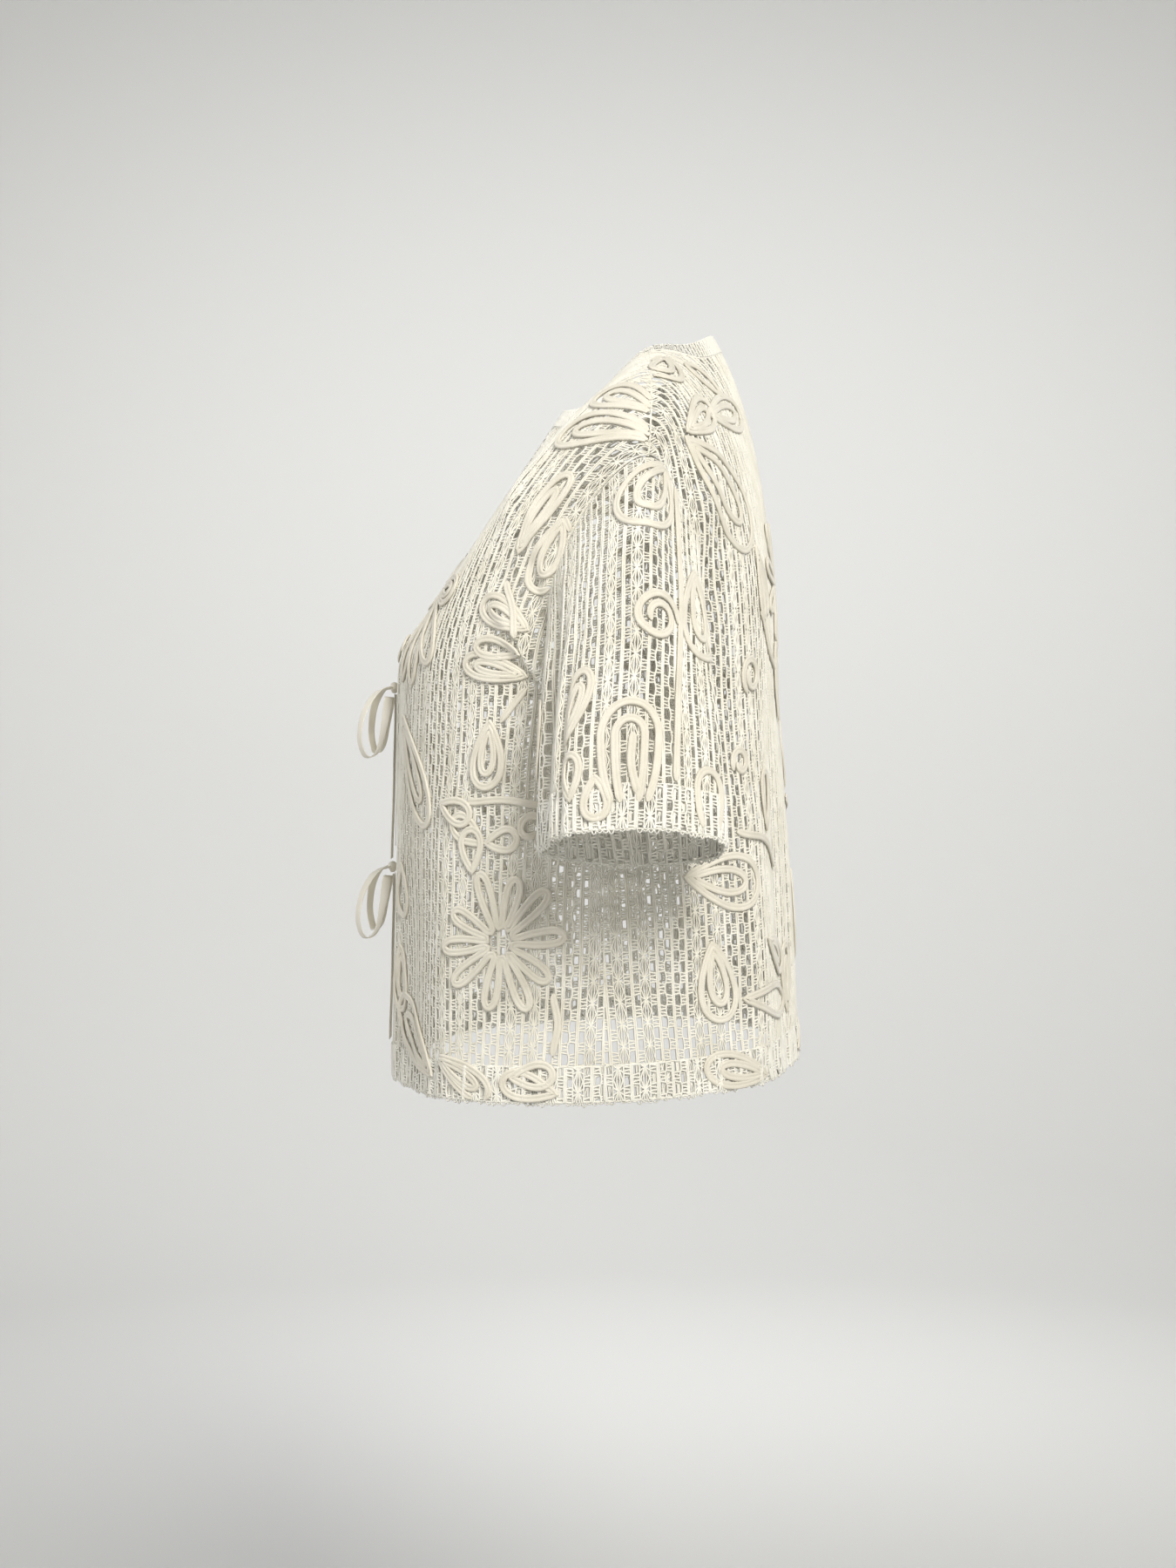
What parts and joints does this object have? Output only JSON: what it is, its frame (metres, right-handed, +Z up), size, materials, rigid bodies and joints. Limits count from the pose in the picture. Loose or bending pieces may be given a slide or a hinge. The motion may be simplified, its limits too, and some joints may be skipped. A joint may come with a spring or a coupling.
{
  "type": "lace cardigan",
  "caption": "Short-sleeved openwork lace cardigan with sewn braid flowers and two ribbon bow ties, filled out as worn.",
  "frame": {"origin": "midway between the upper ends of the two shoulder seams, inside the open neck", "axes": "+X towards the wearer's left, -Y towards the wearer's front, +Z up"},
  "size_m": [0.5892, 0.2875, 0.4726],
  "materials": {
    "cotton_lace": "matt white cotton yarn in an open vertical lace with off-white braid sewn on",
    "cotton_lace_doubled": "matt white cotton lace, turned up double and denser",
    "satin_ribbon": "soft satin, warm ivory"
  },
  "bodies": {
    "root": {"front_left": "cotton_lace", "front_right": "cotton_lace", "back": "cotton_lace", "sleeve_left": "cotton_lace", "sleeve_right": "cotton_lace", "hem_front_left": "cotton_lace_doubled", "hem_front_right": "cotton_lace_doubled", "hem_back": "cotton_lace_doubled", "cuff_left": "cotton_lace_doubled", "cuff_right": "cotton_lace_doubled", "front_edge_left": "cotton_lace_doubled", "front_edge_right": "cotton_lace_doubled", "neck_edge": "cotton_lace_doubled", "knot_upper": "satin_ribbon", "knot_lower": "satin_ribbon", "root_left_upper": "satin_ribbon", "root_right_upper": "satin_ribbon", "root_left_lower": "satin_ribbon", "root_right_lower": "satin_ribbon", "loop_left_upper": "satin_ribbon", "loop_right_upper": "satin_ribbon", "loop_left_lower": "satin_ribbon", "loop_right_lower": "satin_ribbon", "tail_left_upper": "satin_ribbon", "tail_right_upper": "satin_ribbon", "tail_left_lower": "satin_ribbon", "tail_right_lower": "satin_ribbon"}
  },
  "joints": []
}
